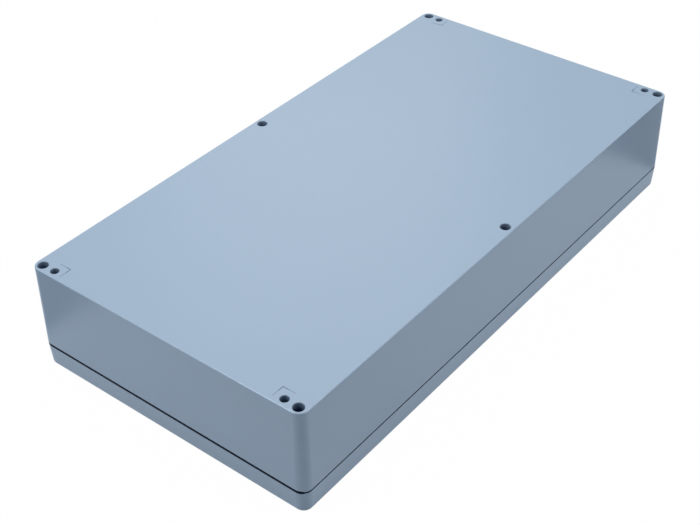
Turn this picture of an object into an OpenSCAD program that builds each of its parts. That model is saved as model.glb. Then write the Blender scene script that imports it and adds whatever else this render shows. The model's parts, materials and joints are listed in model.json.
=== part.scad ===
/* [Enclosure] */
// Outside length at the parting line
box_l = 600; // [420:10:700]
// Outside width at the parting line
box_w = 310; // [250:10:400]
// Height of the base casting, from its rim to the mounting face
base_h = 86.8; // [85:0.1:160]
// Height of the lid casting, from its outer face to its rim
lid_h = 23; // [20:0.5:30]
// Open joint between the two rims
seam_gap = 1.2; // [0.6:0.1:1.4]
// Radius of the upright corners at the parting line
corner_r = 10; // [8:0.5:14]
// Draft of the base's outer walls, over their whole height
base_taper = 1.1; // [0.5:0.1:2]
// Draft of the lid's outer walls, over their whole height
lid_taper = 1.3; // [0.5:0.1:2]
// Rounding of the edge round the mounting face
base_edge_r = 1.2; // [0.8:0.1:2]
// Rounding of the edge round the lid's outer face
lid_edge_r = 2; // [1.5:0.1:2.2]

/* [Walls] */
// Thickness of the base's walls at the rim
wall = 5.5; // [5:0.1:6.5]
// Thickness of the base's floor
floor_t = 5; // [4:0.5:8]
// Thickness of the lid's plate
lid_plate_t = 4; // [3:0.5:6]
// How much thicker the lid's walls are than the base's
lid_wall_extra = 1.5; // [0.5:0.1:2]
// Draft of the base's inner walls, over their whole depth
base_inner_taper = 0.8; // [0.4:0.1:1.5]
// Draft of the lid's inner walls, over their whole depth
lid_inner_taper = 0.4; // [0.2:0.1:0.8]
// Radius of the inner upright corners at the rim
cavity_r = 6; // [5:0.5:8]
// Rounding where the base's floor meets its walls
base_floor_r = 3; // [1.5:0.5:4]
// Rounding where the lid's plate meets its walls
lid_floor_r = 2; // [1:0.5:3]

/* [Seal] */
// Distance from the outer face to the middle of the seal
seal_inset = 3; // [2.8:0.1:3.4]
// Width of the groove in the lid
groove_w = 3.2; // [2.6:0.1:3.4]
// Depth of the groove in the lid
groove_deep = 4; // [3:0.1:6]
// Width of the ridge on the base's rim
ridge_w = 1.8; // [1.2:0.1:2.4]
// Height of the ridge on the base's rim
ridge_h = 1.6; // [1.5:0.1:2.4]

/* [Lid screws] */
// Distance from the end face to the axes of the corner screws
screw_inset_x = 8.5; // [8.2:0.1:11]
// Distance from the side face to the screw axes
screw_inset_y = 9.5; // [9:0.1:11]
// Diameter of the screw's thread
screw_d = 6; // [5:0.5:6]
// Length of the screw under its head
screw_l = 27.5; // [24:0.5:32]
// Diameter of the screw's waist
waist_d = 4.6; // [3.8:0.1:4.8]
// Diameter of the screw's head
head_d = 9.8; // [8.5:0.1:10.6]
// Height of the screw's head
head_h = 4.5; // [3.5:0.1:5]
// Diameter of the recess round the head
recess_d = 11.5; // [10.8:0.1:11.8]
// Depth of the recess round the head
recess_deep = 6; // [5.5:0.1:7]
// Thickness of the web that the head clamps
web_t = 5; // [2.5:0.1:5.5]
// Diameter of the hole in the web
web_hole_d = 6.6; // [6.3:0.1:7.5]
// Diameter of the pocket for the retaining clip
pocket_d = 12; // [11.6:0.1:12.5]
// Depth of the threaded hole in the base
thread_deep = 20; // [16:0.5:24]
// Diameter of the cored hole behind each screw post
core_d = 10; // [8:0.1:10.5]
// Depth of the cored hole behind each screw post
core_deep = 60; // [20:0.5:62]
// Width of the driver slot and of the cross recess
slot_w = 1.6; // [1.2:0.1:2]
// Depth of the driver slot
slot_deep = 2.2; // [1.5:0.1:2.6]
// Length of the cross recess
cross_l = 5.6; // [4:0.1:7]

/* [Retaining clips] */
// Outside diameter of the clip
clip_d = 11; // [9.5:0.1:11.2]
// Thickness of the clip
clip_t = 2; // [1.2:0.1:2.2]
// Width of the mouth that snaps over the waist
clip_mouth = 3.8; // [3:0.1:4.2]

/* [Wall mounting] */
// Distance from the end face to the mounting holes
mount_inset_x = 9; // [8.8:0.1:12]
// Distance from the side face to the mounting holes
mount_inset_y = 24; // [23:0.1:30]
// Diameter of the mounting holes
mount_hole_d = 8; // [6:0.1:8.5]
// Diameter of the well above each mounting hole
well_d = 11.5; // [10.5:0.1:11.8]
// Thickness left under the well
well_floor_t = 7; // [5:0.5:12]
// Depth of the relief that meets the well in the lid
relief_deep = 14; // [6:0.5:16]
// Wall between the well and the inside
well_wall = 5; // [5:0.1:6]

/* [Fixing bosses] */
// Spacing of the outer bosses along the box
boss_outer_x = 510; // [400:5:520]
// Spacing of the inner bosses along the box
boss_inner_x = 170; // [80:5:240]
// Spacing of the bosses across the box
boss_y = 200; // [120:5:220]
// Diameter of a boss at its face
boss_d = 13; // [11:0.5:18]
// Height of a boss above the floor
boss_h = 10; // [6:0.5:16]
// Diameter of the tapped hole in a boss
tapped_d = 5; // [4:0.1:5.2]
// Depth of the tapped hole in a boss
tapped_deep = 12; // [8:0.5:13]

/* [Earth terminals] */
// Distance of both terminals from the box's end
earth_from_end = 70; // [60:5:150]
// Diameter of the terminal boss
earth_boss_d = 17; // [15:0.5:20]
// Height of the terminal boss in the base
base_earth_boss_h = 8; // [6:0.5:14]
// Height of the terminal boss in the lid
lid_earth_boss_h = 4; // [3.5:0.5:5]
// Length of the terminal screws under the head
earth_screw_l = 8; // [6:0.5:8]
// Side of the square clamp washer
clamp_side = 14; // [12:0.5:16]
// Thickness of the clamp washer
clamp_t = 1.4; // [1:0.1:2]
// Outside diameter of the spring washer
spring_d = 11; // [10:0.1:12]
// Thickness of the spring washer
spring_t = 1.4; // [1:0.1:1.8]
// Width of the cut through the spring washer
spring_cut = 1.2; // [0.8:0.1:2]

/* [Surface] */
// Length of each arm of the tool marks beside the mounting holes
mark_l = 13; // [8:0.5:16]
// Distance of the tool marks from the mounting hole's axis
mark_offset = 10; // [8:0.1:10.5]
// Width of the tool marks
mark_w = 0.6; // [0.3:0.1:1]
// Depth of the tool marks
mark_deep = 0.3; // [0.1:0.1:0.6]
// Chamfer at the mouth of each hole in the mounting face
mouth_chamfer = 0.4; // [0.2:0.1:0.8]

/* [Hidden] */
$fn = 64;
SCREWS = 6;

cast_colour = [0.53, 0.60, 0.67];
rubber_colour = [0.07, 0.07, 0.08];
steel_colour = [0.72, 0.73, 0.74];
brass_colour = [0.78, 0.62, 0.32];
nylon_colour = [0.88, 0.87, 0.82];

// how far a cut runs past the face that it opens
overrun = 1;
// straight length left between two roundings that follow each other
straight_part = 1;
// gap on each side of the gasket in its groove
gasket_play = 0.1;
// radial play between a thread and its hole
thread_play = 0.06;
// radial play between the clip and the screw's waist
clip_play = 0.1;
// play beside the clip at each end of the screw's travel
clip_end_play = 0.3;
// chamfer at the end of a thread, and round the top of a head
screw_chamfer = 0.7;
head_chamfer = 0.5;
// how far the threaded hole's mouth is opened
thread_mouth = 0.5;
// how much a cored hole narrows towards its end
core_taper = 0.5;
// how much a boss widens towards its foot
boss_taper = 0.6;
// radial play of a terminal's washers round the screw
washer_play = 0.3;
// room left under the end of a terminal screw
screw_end_play = 0.3;
// angle at which the slot of each lid screw came to rest
slot_turns = [12, 67, 140, 95, 33, 158];

rim_z = lid_h + seam_gap;
box_h = rim_z + base_h;
half_l = box_l / 2;
half_w = box_w / 2;
cavity_x = half_l - wall;
cavity_y = half_w - wall;
base_cavity_deep = base_h - floor_t;
lid_cavity_deep = lid_h - lid_plate_t;
screw_x = half_l - screw_inset_x;
screw_y = half_w - screw_inset_y;
screw_places = [for (x = [-screw_x, 0, screw_x]) for (y = [-screw_y, screw_y]) [x, y]];
mount_x = half_l - mount_inset_x;
mount_y = half_w - mount_inset_y;

// the corner block holds a screw post and a well
block_x = mount_x - well_d / 2 - well_wall;
block_y = mount_y - well_d / 2 - well_wall;
block_corner_r = cavity_x - block_x - cavity_r - straight_part;
// the seal runs this far outside the cavity's outline
seal_offset = wall - seal_inset;
seal_lip = seal_inset - groove_w / 2;
// the middle posts leave the same lip between pocket and groove
post_r = pocket_d / 2 + seal_lip + groove_w / 2 + seal_offset;
// the seal bends round the foot of a middle post at this radius
seal_bend_r = cavity_y - screw_y - straight_part;

ridge_foot_z = rim_z - ridge_h;
groove_floor_z = lid_h - groove_deep;
gasket_w = groove_w - 2 * gasket_play;
web_top_z = recess_deep + web_t;
screw_end_z = recess_deep + screw_l;
thread_start_z = lid_h;
clip_z = thread_start_z - clip_end_play - clip_t;
base_boss_z = box_h - floor_t - boss_h;
base_earth_z = box_h - floor_t - base_earth_boss_h;
lid_earth_z = lid_plate_t + lid_earth_boss_h;
washers_t = clamp_t + spring_t;
earth_x = box_l / 2 - earth_from_end;

module at_quadrants() {
    for (x = [0, 1]) for (y = [0, 1]) mirror([x, 0, 0]) mirror([0, y, 0]) children();
}

module at_sides() {
    for (y = [0, 1]) mirror([0, y, 0]) children();
}

module at_screws() {
    for (place = screw_places) translate(place) children();
}

module at_bosses() {
    for (x = [boss_outer_x, boss_inner_x])
        at_quadrants() translate([x / 2, boss_y / 2, 0]) children();
}

// half a section of a casting's wall: it leans in by the taper up to the edge
// that is rounded at its narrow end
module edge_profile(run, height, taper, edge_r) {
    wall_x = run - taper;
    mid = [wall_x - edge_r, height - edge_r];
    polygon([[0, 0], [run, 0], [wall_x, mid.y], mid, [mid.x, height], [0, height]]);
    translate(mid)
        intersection() {
            circle(edge_r);
            square(edge_r);
        }
}

module edge_section(run, height, taper, edge_r) {
    for (side = [0, 1]) mirror([side, 0]) edge_profile(run, height, taper, edge_r);
}

// a drafted block with round upright corners; its wide end is at zero
module drafted_block(half_x, half_y, r, height, taper, edge_r) {
    rotate([90, 0, 90])
        linear_extrude(2 * (half_x - r), center = true)
            edge_section(half_y, height, taper, edge_r);
    rotate([90, 0, 0])
        linear_extrude(2 * (half_y - r), center = true)
            edge_section(half_x, height, taper, edge_r);
    at_quadrants()
        translate([half_x - r, half_y - r, 0])
            rotate_extrude(angle = 90) edge_profile(r, height, taper, edge_r);
}

// fills the inside of a corner block's round corner, when joined to the cavity
module block_rounding(grow, height, taper) {
    fill = block_corner_r + straight_part;
    r = block_corner_r - grow;
    translate([block_x + block_corner_r, block_y + block_corner_r, 0])
        difference() {
            translate([-fill, -fill, 0]) cube([fill, fill, height]);
            cylinder(r1 = r, r2 = r + taper, h = height);
        }
}

// the post of a middle screw, as the cavity meets it
module middle_post(grow, deep, taper) {
    post = post_r - grow;
    reach = cavity_y + grow + overrun - screw_y;
    translate([0, screw_y, 0]) cylinder(r1 = post, r2 = post + taper, h = deep);
    translate([0, screw_y + reach, 0])
        rotate([90, 0, 0])
            linear_extrude(reach)
                polygon([[-post, 0], [post, 0], [post + taper, deep], [-post - taper, deep]]);
}

// the inside of a casting, mouth at zero; grow moves its rim's outline outwards
module cavity(grow, deep, taper, edge_r) {
    difference() {
        union() {
            drafted_block(cavity_x + grow, block_y + grow, cavity_r + grow, deep, taper, edge_r);
            drafted_block(block_x + grow, cavity_y + grow, cavity_r + grow, deep, taper, edge_r);
            at_quadrants() block_rounding(grow, deep - edge_r, taper);
        }
        at_sides() middle_post(grow, deep, taper);
    }
}

module rounded_rectangle(half_x, half_y, r) {
    square([2 * (half_x - r), 2 * half_y], center = true);
    square([2 * half_x, 2 * (half_y - r)], center = true);
    for (x = [r - half_x, half_x - r]) for (y = [r - half_y, half_y - r])
        translate([x, y]) circle(r);
}

// the flat outline of the cavity's rim, moved outwards by grow
module rim_outline(grow) {
    corner_fill = block_corner_r + straight_part;
    post = post_r - grow;
    bend_y = cavity_y - seal_bend_r;
    difference() {
        union() {
            rounded_rectangle(cavity_x + grow, block_y + grow, cavity_r + grow);
            rounded_rectangle(block_x + grow, cavity_y + grow, cavity_r + grow);
            for (x = [0, 1]) for (y = [0, 1]) mirror([x, 0]) mirror([0, y])
                translate([block_x + block_corner_r, block_y + block_corner_r])
                    difference() {
                        translate([-corner_fill, -corner_fill]) square(corner_fill);
                        circle(block_corner_r - grow);
                    }
        }
        for (y = [0, 1]) mirror([0, y]) {
            translate([0, screw_y]) circle(post);
            translate([-post, screw_y]) square([2 * post, cavity_y + grow + overrun - screw_y]);
            for (x = [0, 1]) mirror([x, 0])
                difference() {
                    translate([post_r / 2, bend_y])
                        square([post_r / 2 + seal_bend_r, seal_bend_r + grow + overrun]);
                    translate([post_r + seal_bend_r, bend_y]) circle(seal_bend_r + grow);
                }
        }
    }
}

// a closed band that runs along the middle of the seal
module seal_band(width, height) {
    linear_extrude(height)
        difference() {
            rim_outline(seal_offset + width / 2);
            rim_outline(seal_offset - width / 2);
        }
}

// a hole that opens upwards in the mounting face, with a chamfered mouth
module back_hole(d, deep, taper = 0) {
    translate([0, 0, box_h - deep])
        cylinder(d1 = d - 2 * taper, d2 = d, h = deep - mouth_chamfer);
    translate([0, 0, box_h - mouth_chamfer])
        cylinder(d1 = d, d2 = d + 2 * (mouth_chamfer + overrun), h = mouth_chamfer + overrun);
}

// two fine lines that the tool leaves round the inner side of a corner block
module tool_mark() {
    translate([mount_x - mark_offset, mount_y - mark_offset, box_h - mark_deep]) {
        cube([mark_w, mark_l, mark_deep + overrun]);
        cube([mark_l, mark_w, mark_deep + overrun]);
    }
}

module base_shell() {
    difference() {
        translate([0, 0, rim_z])
            drafted_block(half_l, half_w, corner_r, base_h, base_taper, base_edge_r);
        translate([0, 0, rim_z])
            cavity(0, base_cavity_deep, base_inner_taper, base_floor_r);
    }
    translate([0, 0, ridge_foot_z]) seal_band(ridge_w, ridge_h + overrun);
    at_bosses()
        translate([0, 0, base_boss_z])
            cylinder(d1 = boss_d, d2 = boss_d + 2 * boss_taper, h = boss_h + floor_t / 2);
    translate([earth_x, 0, base_earth_z])
        cylinder(d1 = earth_boss_d, d2 = earth_boss_d + 2 * boss_taper, h = base_earth_boss_h + floor_t / 2);
}

module base_casting() {
    color(cast_colour)
    difference() {
        base_shell();
        at_screws() {
            translate([0, 0, rim_z - overrun])
                cylinder(d = screw_d + 2 * thread_play, h = thread_deep + overrun);
            translate([0, 0, rim_z - overrun])
                cylinder(d1 = screw_d + 2 * (thread_mouth + overrun), d2 = screw_d, h = thread_mouth + overrun);
            back_hole(core_d, core_deep, core_taper);
        }
        at_quadrants() {
            translate([mount_x, mount_y, 0]) {
                translate([0, 0, rim_z - overrun])
                    cylinder(d = well_d, h = base_h - well_floor_t + overrun);
                back_hole(mount_hole_d, well_floor_t + overrun);
            }
            tool_mark();
        }
        at_bosses()
            translate([0, 0, base_boss_z - overrun]) cylinder(d = tapped_d, h = tapped_deep + overrun);
        translate([earth_x, 0, base_earth_z - overrun])
            cylinder(d = screw_d + 2 * thread_play, h = earth_screw_l - washers_t + screw_end_play + overrun);
    }
}

module lid_shell() {
    difference() {
        translate([0, 0, lid_h]) mirror([0, 0, 1])
            drafted_block(half_l, half_w, corner_r, lid_h, lid_taper, lid_edge_r);
        translate([0, 0, lid_h]) mirror([0, 0, 1])
            cavity(-lid_wall_extra, lid_cavity_deep, lid_inner_taper, lid_floor_r);
    }
    translate([earth_x, 0, lid_plate_t / 2])
        cylinder(d1 = earth_boss_d + 2 * boss_taper, d2 = earth_boss_d, h = lid_earth_boss_h + lid_plate_t / 2);
}

module lid_casting() {
    color(cast_colour)
    difference() {
        lid_shell();
        translate([0, 0, groove_floor_z]) seal_band(groove_w, groove_deep + overrun);
        at_screws() {
            translate([0, 0, -overrun]) cylinder(d = recess_d, h = recess_deep + overrun);
            translate([0, 0, -overrun]) cylinder(d = web_hole_d, h = lid_h);
            translate([0, 0, web_top_z]) cylinder(d = pocket_d, h = lid_h);
        }
        at_quadrants()
            translate([mount_x, mount_y, lid_h - relief_deep])
                cylinder(d = well_d, h = relief_deep + overrun);
        translate([earth_x, 0, lid_earth_z + washers_t - earth_screw_l - screw_end_play])
            cylinder(d = screw_d + 2 * thread_play, h = earth_screw_l + screw_end_play);
    }
}

module lid_gasket() {
    color(rubber_colour)
    translate([0, 0, groove_floor_z]) seal_band(gasket_w, ridge_foot_z - groove_floor_z);
}

// a round head, driven from below by a slot or a cross; its seat is at zero
module driven_head() {
    difference() {
        translate([0, 0, -head_h]) {
            cylinder(d1 = head_d - 2 * head_chamfer, d2 = head_d, h = head_chamfer);
            translate([0, 0, head_chamfer]) cylinder(d = head_d, h = head_h - head_chamfer);
        }
        translate([-head_d / 2 - overrun, -slot_w / 2, -head_h - overrun])
            cube([head_d + 2 * overrun, slot_w, slot_deep + overrun]);
        translate([-slot_w / 2, -cross_l / 2, -head_h - overrun])
            cube([slot_w, cross_l, slot_deep + overrun]);
    }
}

// the plain outside of a thread, with a chamfered end
module threaded_end(length) {
    cylinder(d = screw_d, h = length - screw_chamfer);
    translate([0, 0, length - screw_chamfer])
        cylinder(d1 = screw_d, d2 = screw_d - 2 * screw_chamfer, h = screw_chamfer);
}

module lid_screw(i) {
    color(steel_colour)
    translate(screw_places[i - 1]) {
        translate([0, 0, recess_deep]) {
            rotate([0, 0, slot_turns[i - 1]]) driven_head();
            cylinder(d = waist_d, h = thread_start_z - recess_deep);
        }
        translate([0, 0, thread_start_z]) threaded_end(screw_end_z - thread_start_z);
    }
}

module screw_clip(i) {
    color(nylon_colour)
    translate([0, 0, clip_z]) translate(screw_places[i - 1])
        linear_extrude(clip_t)
            difference() {
                circle(d = clip_d);
                circle(d = waist_d + 2 * clip_play);
                translate([0, -clip_mouth / 2]) square([clip_d, clip_mouth]);
            }
}

// the stack of a terminal, as it stands on its boss, with the head downwards
module earth_screw() {
    translate([0, 0, -washers_t]) {
        driven_head();
        threaded_end(earth_screw_l);
    }
}

module earth_spring_washer() {
    translate([0, 0, -washers_t])
        linear_extrude(spring_t)
            difference() {
                circle(d = spring_d);
                circle(d = screw_d + 2 * washer_play);
                translate([0, -spring_cut / 2]) square([spring_d, spring_cut]);
            }
}

module earth_clamp() {
    translate([0, 0, -clamp_t])
        linear_extrude(clamp_t)
            difference() {
                square(clamp_side, center = true);
                circle(d = screw_d + 2 * washer_play);
            }
}

module on_base_boss() {
    translate([earth_x, 0, base_earth_z]) children();
}

module on_lid_boss() {
    translate([earth_x, 0, lid_earth_z]) mirror([0, 0, 1]) children();
}

base_casting();
lid_casting();
lid_gasket();
for (i = [1 : SCREWS]) {
    lid_screw(i);
    screw_clip(i);
}
color(brass_colour) on_base_boss() earth_screw();  // base_earth_screw
color(steel_colour) on_base_boss() earth_spring_washer();  // base_earth_spring_washer
color(brass_colour) on_base_boss() earth_clamp();  // base_earth_clamp
color(brass_colour) on_lid_boss() earth_screw();  // lid_earth_screw
color(steel_colour) on_lid_boss() earth_spring_washer();  // lid_earth_spring_washer
color(brass_colour) on_lid_boss() earth_clamp();  // lid_earth_clamp
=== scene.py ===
import json
import math

import bmesh
import bpy
from mathutils import Matrix, Vector


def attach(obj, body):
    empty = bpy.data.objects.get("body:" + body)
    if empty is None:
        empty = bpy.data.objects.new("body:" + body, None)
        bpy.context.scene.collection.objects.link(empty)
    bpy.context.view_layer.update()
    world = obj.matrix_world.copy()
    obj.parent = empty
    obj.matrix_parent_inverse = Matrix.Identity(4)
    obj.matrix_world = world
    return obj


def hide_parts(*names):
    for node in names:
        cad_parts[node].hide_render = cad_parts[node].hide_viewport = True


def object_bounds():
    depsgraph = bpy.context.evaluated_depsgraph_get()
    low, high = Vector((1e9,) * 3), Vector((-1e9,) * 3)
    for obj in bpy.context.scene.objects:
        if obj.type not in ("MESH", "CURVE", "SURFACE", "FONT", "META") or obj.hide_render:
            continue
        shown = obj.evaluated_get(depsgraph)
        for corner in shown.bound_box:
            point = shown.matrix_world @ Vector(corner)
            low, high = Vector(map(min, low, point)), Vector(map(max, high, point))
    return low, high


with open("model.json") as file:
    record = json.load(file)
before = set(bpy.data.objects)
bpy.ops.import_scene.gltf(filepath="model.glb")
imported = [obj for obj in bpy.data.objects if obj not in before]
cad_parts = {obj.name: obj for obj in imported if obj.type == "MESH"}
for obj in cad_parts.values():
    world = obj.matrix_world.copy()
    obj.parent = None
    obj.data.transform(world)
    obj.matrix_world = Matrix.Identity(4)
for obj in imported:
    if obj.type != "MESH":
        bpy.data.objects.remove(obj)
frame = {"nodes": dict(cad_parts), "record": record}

scene = bpy.context.scene
scene.view_settings.view_transform = "Standard"
cadBox = [list(corner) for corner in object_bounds()]
boxTop = cadBox[1][2]
milli = 0.001
crispFrom = math.radians(35)  # faces that meet at a greater angle keep a crisp edge between them


# a colour as a picture editor gives it, from 0 to 255, as the linear light that Blender mixes
def linear(red, green, blue):
    def channel(value):
        part = value / 255
        return part / 12.92 if part <= 0.04045 else ((part + 0.055) / 1.055) ** 2.4
    return (channel(red), channel(green), channel(blue), 1.0)


# an output of a node, with the sums that the finishes need
class Wire:
    def __init__(self, nodes, made, output):
        self.nodes = nodes
        self.made = made
        self.output = output

    def maths(self, operation, first, second):
        return self.nodes.maths(operation, first, second)

    def __add__(self, other):
        return self.maths("ADD", self, other)

    def __radd__(self, other):
        return self.maths("ADD", other, self)

    def __sub__(self, other):
        return self.maths("SUBTRACT", self, other)

    def __rsub__(self, other):
        return self.maths("SUBTRACT", other, self)

    def __mul__(self, other):
        return self.maths("MULTIPLY", self, other)

    def atLeast(self, other):
        return self.maths("MAXIMUM", self, other)


# the nodes of one material or sky; each comes from node()
class Nodes:
    def __init__(self, tree):
        self.tree = tree
        tree.nodes.clear()

    def fill(self, made, values):
        for key, value in values.items():
            socket = made.inputs[key]
            if isinstance(value, Wire):
                self.tree.links.new(value.made.outputs[value.output], socket)
            else:
                socket.default_value = value

    def node(self, kind, settings=None, values=None, output=0):
        made = self.tree.nodes.new(kind)
        for key, value in (settings or {}).items():
            setattr(made, key, value)
        self.fill(made, values or {})
        return Wire(self, made, output)

    def maths(self, operation, first, second=0.0):
        return self.node("ShaderNodeMath", {"operation": operation}, {0: first, 1: second})

    def ray(self, kind):
        return self.node("ShaderNodeLightPath", output=kind)

    def mixed(self, factor, first, second):
        return self.node("ShaderNodeMixShader", values={0: factor, 1: first, 2: second})


# one material: its main shader is filled from the values given
class Paint(Nodes):
    def __init__(self, name, **sockets):
        self.material = bpy.data.materials.new(name)
        self.material.use_nodes = True
        super().__init__(self.material.node_tree)
        self.shader = self.node("ShaderNodeBsdfPrincipled", values=sockets)
        self.end = self.node("ShaderNodeOutputMaterial", values={"Surface": self.shader})

    def place(self):
        return self.node("ShaderNodeTexCoord", output="Object")

    # an even grain between 0 and 1, with that many lumps to the metre
    def grain(self, perMetre, detail=2.0, rough=0.5, stretch=(1, 1, 1)):
        where = self.node("ShaderNodeMapping", values={"Vector": self.place(), "Scale": stretch})
        return self.node("ShaderNodeTexNoise", values={
            "Vector": where, "Scale": perMetre, "Detail": detail, "Roughness": rough})

    # a grain's swing to both sides of zero, that deep in all
    def swing(self, grain, depth):
        return (grain - 0.5) * depth

    # 0 at low and 1 at high, and held at these beyond them
    def spread(self, value, low, high):
        return self.node("ShaderNodeMapRange", values={
            "Value": value, "From Min": low, "From Max": high})

    def blend(self, factor, first, second, how="MIX"):
        return self.node("ShaderNodeMix", {"data_type": "RGBA", "blend_type": how},
                         {0: factor, 6: first, 7: second}, output=2)

    def vector(self, operation, first, second=(0, 0, 0), output=0):
        return self.node("ShaderNodeVectorMath", {"operation": operation},
                         {0: first, 1: second}, output)

    def part(self, vector, side):
        return self.node("ShaderNodeSeparateXYZ", values={0: vector}, output=side)

    def bump(self, height):
        return self.node("ShaderNodeBump", values={"Height": height, "Distance": 1.0, "Strength": 1.0})

    def feed(self, **sockets):
        self.fill(self.shader.made, sockets)


# silver grey powder coat; narrow holes are painted darker with depth, as painted shade
coatLook = {
    "colour": linear(157, 175, 194),
    "ior": 1.5,
    "cloudsPerMetre": 7,        # wide, faint changes of shade
    "cloudDetail": 3,
    "cloudDepth": 0.03,
    "specksPerMetre": 900,      # the powder's own grain
    "speckDepth": 0.035,
    "roughness": 0.31,
    "roughnessSpread": 0.07,    # over the specks
    "peelPerMetre": 520,        # orange peel
    "peelDetail": 1.5,
    "peelDeep": 0.00006,
    "dustPerMetre": 2600,
    "dustDetail": 1,
    "dustDeep": 0.000012,
    "holeShadeColour": linear(34, 62, 104),
    "holeShadeFrom": -1 * milli,      # depth in a hole where the painted shade starts
    "holeShadeTo": 8 * milli,         # and where it is full
    "holeShadeEnd": 62 * milli,       # below the floor of the deepest hole
    "holeEdge": 0.4 * milli,    # how far round a hole's wall the painted shade still counts
    # painted shade in the sunk tool marks
    "markShadeColour": linear(62, 74, 90),
    "markPlace": (0.2765, 0.1165, 0),  # middle of the tool marks of one quarter
    "markReach": 11 * milli,    # how far they go from there
    "markTop": 0.15 * milli,    # depths between which they are painted dark, as painted shade in the sunk marks
    "markFoot": 0.6 * milli,
    "markSoft": 0.1 * milli,
    "seamShadeColour": linear(10, 28, 50),
    "seamFrom": 22.82 * milli,  # heights between which the seam's gap and the rims of its two faces are painted dark, as painted shade
    "seamTo": 24.38 * milli,
    "seamSoft": 0.02 * milli,
    "seamInward": 4 * milli,    # how far in from the outer walls that holds
    "endShadeWider": 0.75 * milli,    # how much wider the painted shade is at the two short ends
    "endFull": 1.5 * milli,     # and how far in from them it is that wide
    "edgeHighlightColour": linear(172, 190, 208),  # painted highlight over the long edges of the back, standing in for their catch light
    "edgeHighlightMetal": 0.19,
    "edgeRound": 1.2 * milli,   # inward and down together, from the sharp edge to where this starts
    "edgeFull": 0.75 * milli,   # and to where it is full
    "wallLean": 1.1 * milli,    # how far the walls lean in up there
    "fade": 1 * milli,          # over which the other masks end
}

# narrow holes of the castings, folded into one quarter: place of the axis and radius, in metres
narrowHoles = [
    {"x": 0.2915, "y": 0.1455, "radius": 0.005},
    {"x": 0.0, "y": 0.1455, "radius": 0.005},
    {"x": 0.291, "y": 0.131, "radius": 0.004},
]


def powderCoat(name, look):
    paint = Paint(name, IOR=look["ior"])
    clouds = paint.grain(look["cloudsPerMetre"], detail=look["cloudDetail"])
    specks = paint.grain(look["specksPerMetre"])
    peel = paint.grain(look["peelPerMetre"], detail=look["peelDetail"])
    dust = paint.grain(look["dustPerMetre"], detail=look["dustDetail"])
    shade = 1 + paint.swing(clouds, look["cloudDepth"]) + paint.swing(specks, look["speckDepth"])
    even = paint.node("ShaderNodeCombineColor", values={0: shade, 1: shade, 2: shade})
    colour = paint.blend(1.0, look["colour"], even, how="MULTIPLY")

    # the box is folded into one quarter; along and across are 0 at the outer walls
    where = paint.place()
    folded = paint.vector("ABSOLUTE", where)
    flat = paint.vector("MULTIPLY", folded, (1, 1, 0))
    along = paint.part(folded, 0) - cadBox[1][0]
    across = paint.part(folded, 1) - cadBox[1][1]
    outward = along.atLeast(across)
    height = paint.part(where, 2)
    down = boxTop - height
    fade = look["fade"]

    # painted highlight: the edges of the back are painted lighter, and made partly metallic to brighten
    # their sheen
    paintedHighlight = paint.spread(outward + look["wallLean"] - down, -look["edgeRound"], -look["edgeFull"])
    colour = paint.blend(paintedHighlight, colour, look["edgeHighlightColour"])

    # painted shade in the narrow holes, darker the deeper they go
    shallow = paint.spread(down, look["holeShadeEnd"] + fade, look["holeShadeEnd"])
    depth = paint.spread(down, look["holeShadeFrom"], look["holeShadeTo"]) * shallow
    for hole in narrowHoles:
        gone = paint.vector("DISTANCE", flat, (hole["x"], hole["y"], 0), output=1)
        wall = hole["radius"] + look["holeEdge"]
        holeShade = paint.spread(gone, wall, wall - look["holeEdge"] / 2) * depth
        colour = paint.blend(holeShade, colour, look["holeShadeColour"])

    # painted shade in the sunk tool marks
    gone = paint.vector("DISTANCE", flat, look["markPlace"], output=1)
    near = paint.spread(gone, look["markReach"] + fade, look["markReach"])
    top, foot, soft = look["markTop"], look["markFoot"], look["markSoft"]
    sunk = paint.spread(down, top - soft, top + soft) * paint.spread(down, foot + soft, foot - soft)
    colour = paint.blend(sunk * near, colour, look["markShadeColour"])

    # painted shade of the seam's gap, spread onto the rims and wider at the short ends
    middle = (look["seamFrom"] + look["seamTo"]) / 2
    half = (look["seamTo"] - look["seamFrom"]) / 2
    half = paint.spread(along, -look["seamInward"], -look["endFull"]) * look["endShadeWider"] + half
    off = paint.maths("ABSOLUTE", height - middle) - half
    nearWalls = paint.spread(outward, -look["seamInward"], fade - look["seamInward"])
    seamShade = paint.spread(off, look["seamSoft"], 0.0) * nearWalls
    colour = paint.blend(seamShade, colour, look["seamShadeColour"])

    rough = look["roughness"] + paint.swing(specks, look["roughnessSpread"])
    relief = peel * look["peelDeep"] + dust * look["dustDeep"]
    # the painted seam shade is a dark metal, so it reflects little, and the painted highlight is partly
    # metal
    metal = paintedHighlight * look["edgeHighlightMetal"] + seamShade
    paint.feed(**{"Base Color": colour, "Roughness": rough, "Metallic": metal,
                  "Normal": paint.bump(relief)})
    return paint.material


# black chloroprene of the gasket
gasketLook = {
    "colour": linear(34, 36, 39),
    "poreColour": linear(52, 54, 57),
    "ior": 1.45,
    "poresPerMetre": 1800,
    "poreDetail": 3,
    "poreRough": 0.6,
    "poreFrom": 0.35,         # where in the grain the pores' colour starts
    "poreTo": 0.65,           # and where it is full
    "poreDeep": 0.00008,
    "roughness": 0.82,
    "roughnessSpread": 0.15,
}


def foamRubber(name, look):
    paint = Paint(name, IOR=look["ior"])
    pores = paint.grain(look["poresPerMetre"], detail=look["poreDetail"], rough=look["poreRough"])
    pitted = paint.spread(pores, look["poreFrom"], look["poreTo"])
    colour = paint.blend(pitted, look["colour"], look["poreColour"])
    rough = look["roughness"] + paint.swing(pores, look["roughnessSpread"])
    relief = pores * look["poreDeep"]
    paint.feed(**{"Base Color": colour, "Roughness": rough, "Normal": paint.bump(relief)})
    return paint.material


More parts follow.
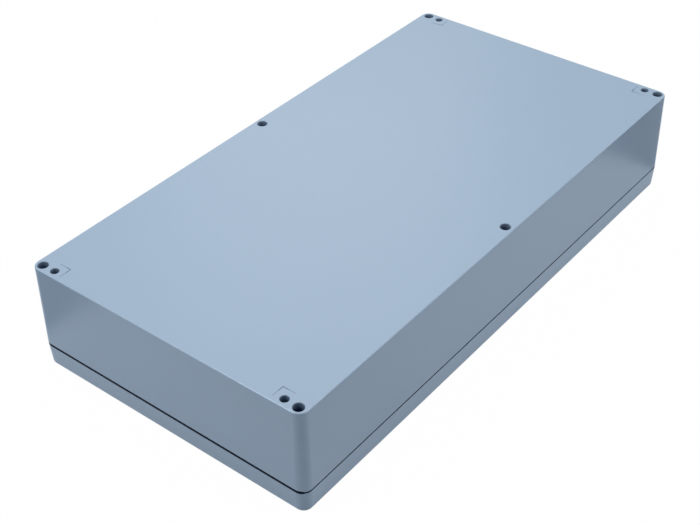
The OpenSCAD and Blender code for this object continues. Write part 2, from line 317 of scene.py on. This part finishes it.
# metals that were turned or rolled
metalLooks = {
    "screw_steel": {
        "colour": linear(196, 194, 188), "roughness": 0.3,
        "grainPerMetre": 3000, "grainDeep": 0.000006},
    "spring_steel": {
        "colour": linear(168, 169, 171), "roughness": 0.36,
        "grainPerMetre": 1800, "grainDeep": 0.00001},
    "terminal_brass": {
        "colour": linear(201, 168, 98), "roughness": 0.3,
        "grainPerMetre": 2200, "grainDeep": 0.000008},
}
metalWear = {
    "shade": 0.8,             # of the metal's colour, where it is most worn
    "lumpsPerGrain": 0.1,
    "detail": 3,
    "roughnessSpread": 0.16,
    "stretch": (1, 1, 4),     # the fine grain lies across the turned axis
}


def turnedMetal(name, look):
    paint = Paint(name, Metallic=1.0)
    wear = paint.grain(look["grainPerMetre"] * metalWear["lumpsPerGrain"], detail=metalWear["detail"])
    fine = paint.grain(look["grainPerMetre"], stretch=metalWear["stretch"])
    worn = [part * metalWear["shade"] for part in look["colour"][:3]] + [1.0]
    colour = paint.blend(wear, look["colour"], worn)
    rough = look["roughness"] + paint.swing(wear, metalWear["roughnessSpread"])
    relief = fine * look["grainDeep"]
    paint.feed(**{"Base Color": colour, "Roughness": rough, "Normal": paint.bump(relief)})
    return paint.material


# natural nylon of the retaining clips
nylonLook = {
    "colour": linear(226, 221, 205),
    "ior": 1.53,
    "cloudColour": linear(206, 198, 176),
    "cloudShare": 0.5,
    "cloudsPerMetre": 187.5,
    "roughness": 0.5,
    "roughnessSpread": 0.1,
    "grainPerMetre": 1500,
    "grainDeep": 0.00001,
}


def nylon(name, look):
    paint = Paint(name, IOR=look["ior"])
    cloud = paint.grain(look["cloudsPerMetre"])
    fine = paint.grain(look["grainPerMetre"])
    colour = paint.blend(cloud * look["cloudShare"], look["colour"], look["cloudColour"])
    rough = look["roughness"] + paint.swing(cloud, look["roughnessSpread"])
    relief = fine * look["grainDeep"]
    paint.feed(**{"Base Color": colour, "Roughness": rough, "Normal": paint.bump(relief)})
    return paint.material


finishes = {
    "powder_coat": powderCoat("powderCoat", coatLook),
    "gasket_rubber": foamRubber("gasketRubber", gasketLook),
    "clip_nylon": nylon("clipNylon", nylonLook),
}
for slotName, look in metalLooks.items():
    finishes[slotName] = turnedMetal(slotName.title().replace("_", ""), look)
print("finishes made:", len(finishes))


def dress(piece, finish):
    if len(piece.material_slots) == 0:
        piece.data.materials.append(finish)
    for each in piece.material_slots:
        each.material = finish


for part in frame["record"]["subparts"]:
    dress(frame["nodes"][part["node"]], finishes[part["material_slot"]])
print("cast, moulded and turned nodes dressed:", len(frame["nodes"]))


# turned, moulded and stamped pieces; lengths in their tables are in millimetres
def newPiece(name, corners, faces):
    mesh = bpy.data.meshes.new(name)
    mesh.from_pydata([[part * milli for part in corner] for corner in corners], [], faces)
    shape = bmesh.new()
    shape.from_mesh(mesh)
    bmesh.ops.recalc_face_normals(shape, faces=shape.faces)
    shape.to_mesh(mesh)
    shape.free()
    mesh.shade_smooth()
    mesh.set_sharp_from_angle(angle=crispFrom)
    return mesh


def placed(name, mesh, node, body, slot, where, turn=(0, 0, 0)):
    piece = bpy.data.objects.new(name, mesh)
    scene.collection.objects.link(piece)
    piece.location = [part * milli for part in where]
    piece.rotation_euler = [math.radians(part) for part in turn]
    dress(piece, finishes[slot])
    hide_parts(node)
    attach(piece, body)


threadFlat = 0.12  # how far the wave would overshoot crest and root, which leaves both a little flat


# the triangular wave of a thread: 0 on the crest and 1 in the root
def threadWave(turns):
    across = abs(2 * (turns - math.floor(turns)) - 1)
    return min(1.0, max(0.0, across * (1 + 2 * threadFlat) - threadFlat))


# a solid turned round the upright axis; a ring is its height, its radius and how deep the thread cuts
def turned(name, rings, steps, pitch=1.0):
    corners = []
    for height, radius, cut in rings:
        for step in range(steps):
            around = 2 * math.pi * step / steps
            reach = radius - cut * threadWave(height / pitch - step / steps)
            corners.append((reach * math.cos(around), reach * math.sin(around), height))
    faces = []
    for ring in range(len(rings) - 1):
        for step in range(steps):
            here, beside = ring * steps + step, ring * steps + (step + 1) % steps
            faces.append((here, beside, beside + steps, here + steps))
    last = (len(rings) - 1) * steps
    faces.append(tuple(range(steps)))
    faces.append(tuple(last + step for step in range(steps)))
    return newPiece(name, corners, faces)


# a ring of rounded rectangular section; a mouth opens it, with parallel sides, a climb lifts one end
# above the other, and square makes its outside square, with corners of that radius
def openRing(name, look, steps=72):
    edge, mouth = look["edge"], look.get("mouth", 0)
    corners = []
    quarter = [math.radians(turn) for turn in (0, 30, 60, 90)]  # points on each corner of the section
    count = 4 * len(quarter)
    closed = mouth == 0
    for step in range(steps if closed else steps + 1):
        along = step / steps
        outer = look["outer"]
        if look.get("square"):
            around = 2 * math.pi * along
            side = outer / max(abs(math.cos(around)), abs(math.sin(around)))
            outer = min(side, math.sqrt(2) * (outer - look["square"]) + look["square"])
        lift = look.get("climb", 0) * (along - 0.5)
        low, high = look["low"] + lift, look["high"] + lift
        centres = [(outer - edge, low + edge, -90), (outer - edge, high - edge, 0),
                   (look["inner"] + edge, high - edge, 90), (look["inner"] + edge, low + edge, 180)]
        for reachMid, heightMid, start in centres:
            for turn in quarter:
                angle = math.radians(start) + turn
                reach = reachMid + edge * math.cos(angle)
                height = heightMid + edge * math.sin(angle)
                gap = math.asin(mouth / 2 / reach)
                around = gap + along * 2 * (math.pi - gap)
                corners.append((reach * math.cos(around), reach * math.sin(around), height))
    loops = len(corners) // count
    faces = []
    for loop in range(loops if closed else loops - 1):
        for corner in range(count):
            beside = (corner + 1) % count
            onward = (loop + 1) % loops
            faces.append((loop * count + corner, loop * count + beside,
                          onward * count + beside, onward * count + corner))
    if not closed:
        faces.append(tuple(range(count)))
        faces.append(tuple((loops - 1) * count + corner for corner in range(count)))
    return newPiece(name, corners, faces)


# the head that lid screws and terminal screws share; its seat is at zero and it hangs below
headLook = {
    "diameter": 9.8,
    "height": 4.5,
    "chamfer": 0.5,
    "slotWide": 1.6,
    "slotDeep": 2.2,
    "slotPast": 1.2,          # length of the slot's cutter, in diameters of the head
    "crossLong": 5.6,
    "cutterHigh": 10,
    "edge": 0.12,
    "edgeSegments": 2,
    "steps": 72,
}


def cutter(name, lengthX, lengthY, top, high):
    x, y, bottom = lengthX / 2, lengthY / 2, top - high
    corners = [(a, b, c) for c in (bottom, top) for a, b in ((-x, -y), (x, -y), (x, y), (-x, y))]
    faces = [(3, 2, 1, 0), (4, 5, 6, 7), (0, 1, 5, 4), (1, 2, 6, 5), (2, 3, 7, 6), (3, 0, 4, 7)]
    block = bpy.data.objects.new(name, newPiece(name, corners, faces))
    scene.collection.objects.link(block)
    return block


def screwHead(look):
    radius, foot = look["diameter"] / 2, -look["height"]
    rings = [(foot, radius - look["chamfer"], 0), (foot + look["chamfer"], radius, 0), (0, radius, 0)]
    head = bpy.data.objects.new("head", turned("head", rings, look["steps"]))
    scene.collection.objects.link(head)
    floor, high = foot + look["slotDeep"], look["cutterHigh"]
    tools = [cutter("slot", look["diameter"] * look["slotPast"], look["slotWide"], floor, high),
             cutter("cross", look["slotWide"], look["crossLong"], floor, high)]
    for tool in tools:
        cut = head.modifiers.new(tool.name, "BOOLEAN")
        cut.operation = "DIFFERENCE"
        cut.solver = "EXACT"
        cut.object = tool
    soften = head.modifiers.new("soften", "BEVEL")
    soften.width = look["edge"] * milli
    soften.segments = look["edgeSegments"]
    soften.limit_method = "ANGLE"
    soften.angle_limit = crispFrom
    bpy.context.view_layer.update()
    finished = head.evaluated_get(bpy.context.evaluated_depsgraph_get())
    shape = bpy.data.meshes.new_from_object(finished)
    for block in tools + [head]:
        bpy.data.objects.remove(block, do_unlink=True)
    return shape


shankLook = {
    "sunk": 0.5,              # how far the shank starts inside its head
    "filletBend": 0.3,        # middle of the fillet, as a share of it
    "tipCut": 0.2,            # share of the thread's depth that is left at the tip
}


# the shank: a plain waist, if it has one, then the thread and its chamfered end
def screwShank(name, look):
    radius, waist = look["thread"] / 2, look["waist"] / 2
    step = look["pitch"] / look["ringsPerTurn"]
    start, end, fillet = look["threadFrom"], look["length"], look["fillet"]
    rings = [(-shankLook["sunk"], waist, 0)]
    if start > 0:
        bend = fillet * shankLook["filletBend"]
        rings += [(0, waist + fillet, 0), (bend, waist + bend, 0),
                  (fillet, waist, 0), (start, waist, 0)]
    else:
        rings += [(0, radius, 0)]
    count = round((end - start) / step)
    for ring in range(count + 1):
        height = start + ring * step
        swell = min(1.0, (height - start) / look["runOut"]) if start > 0 else 1.0
        taper = max(0.0, height - (end - look["chamfer"]))
        reach = waist + (radius - waist) * swell - taper
        tip = min(1.0, (end - height) / look["chamfer"] + shankLook["tipCut"])
        full = look["threadDeep"] * swell * tip
        rings.append((height, reach, min(full, reach - look["core"])))
    return turned(name, rings, look["steps"], look["pitch"])


def joined(name, meshes):
    shape = bmesh.new()
    for mesh in meshes:
        shape.from_mesh(mesh)
    whole = bpy.data.meshes.new(name)
    shape.to_mesh(whole)
    shape.free()
    whole.shade_smooth()
    whole.set_sharp_from_angle(angle=crispFrom)
    return whole


headShape = screwHead(headLook)

lidScrewLook = {
    "seat": 6.0,              # height of the head's seat
    "thread": 6.0,
    "threadDeep": 0.61,
    "core": 2.2,
    "pitch": 1.0,
    "ringsPerTurn": 12,
    "waist": 4.6,
    "fillet": 0.4,
    "threadFrom": 17.0,       # above the seat, as the length is
    "length": 27.5,
    "runOut": 0.9,
    "chamfer": 0.7,
    "steps": 48,
    "slotTurns": [12, 67, 140, 95, 33, 158],
}
clipLook = {
    "seat": 20.7,             # height of its lower face
    "inner": 2.4, "outer": 5.5, "low": 0.0, "high": 2.0, "edge": 0.3, "mouth": 3.8,
}
screwAxes = [(x, y) for x in (-291.5, 0, 291.5) for y in (-145.5, 145.5)]

lidScrewShape = joined("lidScrew", [headShape, screwShank("shank", lidScrewLook)])
clipShape = openRing("clip", clipLook)
for place, (x, y) in enumerate(screwAxes):
    number = str(place + 1)
    placed("lidScrew." + number, lidScrewShape, "lid_screw_" + number, "screw_" + number,
           "screw_steel", (x, y, lidScrewLook["seat"]), (0, 0, lidScrewLook["slotTurns"][place]))
    placed("retainingClip." + number, clipShape, "screw_clip_" + number, "clip_" + number,
           "clip_nylon", (x, y, clipLook["seat"]))
print("lid screws and clips made:", len(screwAxes))

terminalScrewLook = {
    "thread": 6.0, "threadDeep": 0.61, "core": 2.2, "pitch": 1.0, "ringsPerTurn": 12, "waist": 6.0,
    "fillet": 0.0, "threadFrom": 0.0, "length": 8.0, "runOut": 0.5, "chamfer": 0.7, "steps": 48,
}
springWasherLook = {
    "inner": 3.3, "outer": 5.5, "low": 0.15, "high": 1.25, "edge": 0.12, "mouth": 1.2, "climb": 0.3,
}
clampLook = {
    "inner": 3.3, "outer": 7.0, "low": 0.0, "high": 1.4, "edge": 0.2, "square": 0.8, "steps": 96,
}
stackHigh = 1.4  # height of the clamp washer, and of the spring washer on it

# middle of each boss's face; down is 1 where the stack hangs from it and -1 where it stands on it
terminals = {
    "base": {"place": (230, 0, 98), "turn": (0, 0, 0), "down": 1},
    "lid": {"place": (230, 0, 8), "turn": (180, 0, 0), "down": -1},
}

terminalScrewShape = joined("terminalScrew", [headShape, screwShank("stud", terminalScrewLook)])
springWasherShape = openRing("springWasher", springWasherLook)
clampShape = openRing("clampWasher", clampLook, clampLook["steps"])
for side, seat in terminals.items():
    x, y, z = seat["place"]
    step = stackHigh * seat["down"]
    screwSeat, clampSeat = (x, y, z - 2 * step), (x, y, z - step)
    placed(side + "TerminalScrew", terminalScrewShape, side + "_earth_screw", "enclosure",
           "terminal_brass", screwSeat, seat["turn"])
    placed(side + "SpringWasher", springWasherShape, side + "_earth_spring_washer", "enclosure",
           "spring_steel", screwSeat, seat["turn"])
    placed(side + "ClampWasher", clampShape, side + "_earth_clamp", "enclosure",
           "terminal_brass", clampSeat, seat["turn"])
print("earth terminals made:", len(terminals))


# the floor and the light round it
stageSetup = {
    "floorSize": 40.0,
    "floorDrop": 0.0004,      # keeps it clear of the lid's face
    "floorColour": linear(200, 202, 206),
    "floorRoughness": 0.9,
    "white": (1, 1, 1, 1),
    "whiteShare": 0.99,       # how much of the floor that the camera sees is plain white
    "gleamShare": 0.8,        # and how much of the floor that reflections see is a cool white
    "gleamColour": linear(228, 242, 255),
    "skyColour": linear(234, 242, 248),
    "skyStrength": 0.79,
}


def flatSheet(name, corners):
    mesh = bpy.data.meshes.new(name)
    mesh.from_pydata(corners, [], [(0, 1, 2, 3)])
    sheet = bpy.data.objects.new(name, mesh)
    scene.collection.objects.link(sheet)
    return sheet


def makeFloor(setup):
    half, z = setup["floorSize"] / 2, -setup["floorDrop"]
    floor = flatSheet("floor", [(-half, -half, z), (half, -half, z), (half, half, z), (-half, half, z)])
    paint = Paint("floorPaint", **{
        "Base Color": setup["floorColour"], "Roughness": setup["floorRoughness"]})
    gleam = paint.node("ShaderNodeEmission", values={"Color": setup["gleamColour"]})
    white = paint.node("ShaderNodeEmission", values={"Color": setup["white"]})
    lit = paint.mixed(paint.ray("Is Glossy Ray") * setup["gleamShare"], paint.shader, gleam)
    seen = paint.ray("Is Camera Ray").atLeast(paint.ray("Is Transmission Ray"))
    paint.fill(paint.end.made, {"Surface": paint.mixed(seen * setup["whiteShare"], lit, white)})
    dress(floor, paint.material)


def makeSky(setup):
    world = bpy.data.worlds.new("sky")
    world.use_nodes = True
    scene.world = world
    sky = Nodes(world.node_tree)
    soft = sky.node("ShaderNodeBackground", values={
        "Color": setup["skyColour"], "Strength": setup["skyStrength"]})
    gleam = sky.node("ShaderNodeBackground", values={"Color": setup["gleamColour"]})
    white = sky.node("ShaderNodeBackground", values={"Color": setup["white"]})
    lit = sky.mixed(sky.ray("Is Glossy Ray"), soft, gleam)
    seen = sky.ray("Is Camera Ray").atLeast(sky.ray("Is Transmission Ray"))
    sky.node("ShaderNodeOutputWorld", values={"Surface": sky.mixed(seen, lit, white)})


# soft boxes: place and aim in metres, size in metres, power in watts
softBoxes = {
    "overhead": {"place": (-0.05, -0.05, 1.15), "aim": (-0.05, 0.0, 0.1), "size": 0.8, "watts": 3.55},
    "behind": {"place": (1.1, 1.0, 1.2), "aim": (0.1, 0.1, 0.1), "size": 0.8, "watts": 2.15},
    "right": {"place": (0.1, -1.1, 0.45), "aim": (0.0, -0.15, 0.05), "size": 0.4, "watts": 1.05},
    "leftEdge": {"place": (-1.08, 0.45, 0.95), "aim": (-0.3, -0.1, 0.11), "size": 0.12, "watts": 3.1},
}

# dark cards: one shades the box from behind the camera, and the others only show in the gleam of
# the two sides in view, past their far ends
cards = {
    "behindCamera": {"from": (-2.3, 0.2), "to": (0.2, -2.3), "high": 2.0, "shades": True},
    "pastRightEnd": {"from": (0.322, -0.165), "to": (0.322, -0.5), "high": boxTop},
    "pastLeftEnd": {"from": (-0.31, 0.188), "to": (-0.6, 0.188), "high": boxTop},
}
cardLook = {"colour": linear(30, 32, 36), "roughness": 0.9}


def makeSoftBox(name, box):
    lamp = bpy.data.lights.new(name, "AREA")
    lamp.shape = "SQUARE"
    lamp.size = box["size"]
    lamp.energy = box["watts"]
    holder = bpy.data.objects.new(name, lamp)
    scene.collection.objects.link(holder)
    holder.location = box["place"]
    beam = Vector(box["aim"]) - Vector(box["place"])
    holder.rotation_euler = beam.to_track_quat("-Z", "Y").to_euler()


def makeCard(name, card, paint):
    (ax, ay), (bx, by), high = card["from"], card["to"], card["high"]
    sheet = flatSheet(name, [(ax, ay, 0), (bx, by, 0), (bx, by, high), (ax, ay, high)])
    dress(sheet, paint.material)
    shades = card.get("shades", False)
    sheet.visible_camera = sheet.visible_transmission = False
    sheet.visible_diffuse = sheet.visible_shadow = shades
    sheet.visible_glossy = not shades


makeFloor(stageSetup)
makeSky(stageSetup)
cardPaint = Paint("cardPaint", **{"Base Color": cardLook["colour"], "Roughness": cardLook["roughness"]})
for name, card in cards.items():
    makeCard(name, card, cardPaint)
for name, box in softBoxes.items():
    makeSoftBox(name, box)
print("floor, sky and soft boxes set")


# the camera stands where the photograph's edges meet the box's real ones
cameraRig = {
    "lens": 66.89,            # mm, on a sensor 36 mm wide
    "azimuth": -51.448,
    "elevation": 37.997,
    "roll": -0.813,
    "distance": 1.2237,
    "target": (-0.0719, -0.0228, 0.0567),
    "farthest": 100,          # metres into the distance
}


def makeCamera(rig):
    around, above, roll = (math.radians(rig[key]) for key in ("azimuth", "elevation", "roll"))
    low = math.cos(above)
    back = Vector((math.sin(around) * low, -math.cos(around) * low, math.sin(above)))
    right = Vector((0, 0, 1)).cross(back).normalized()
    up = back.cross(right)
    rightTilted = right * math.cos(roll) + up * math.sin(roll)
    upTilted = up * math.cos(roll) - right * math.sin(roll)
    turn = Matrix((rightTilted, upTilted, back)).transposed().to_4x4()
    camera = bpy.data.objects.new("camera", bpy.data.cameras.new("camera"))
    scene.collection.objects.link(camera)
    camera.data.lens = rig["lens"]
    camera.data.clip_end = rig["farthest"]
    camera.matrix_world = Matrix.Translation(Vector(rig["target"]) + back * rig["distance"]) @ turn
    scene.camera = camera


makeCamera(cameraRig)
print("camera set")
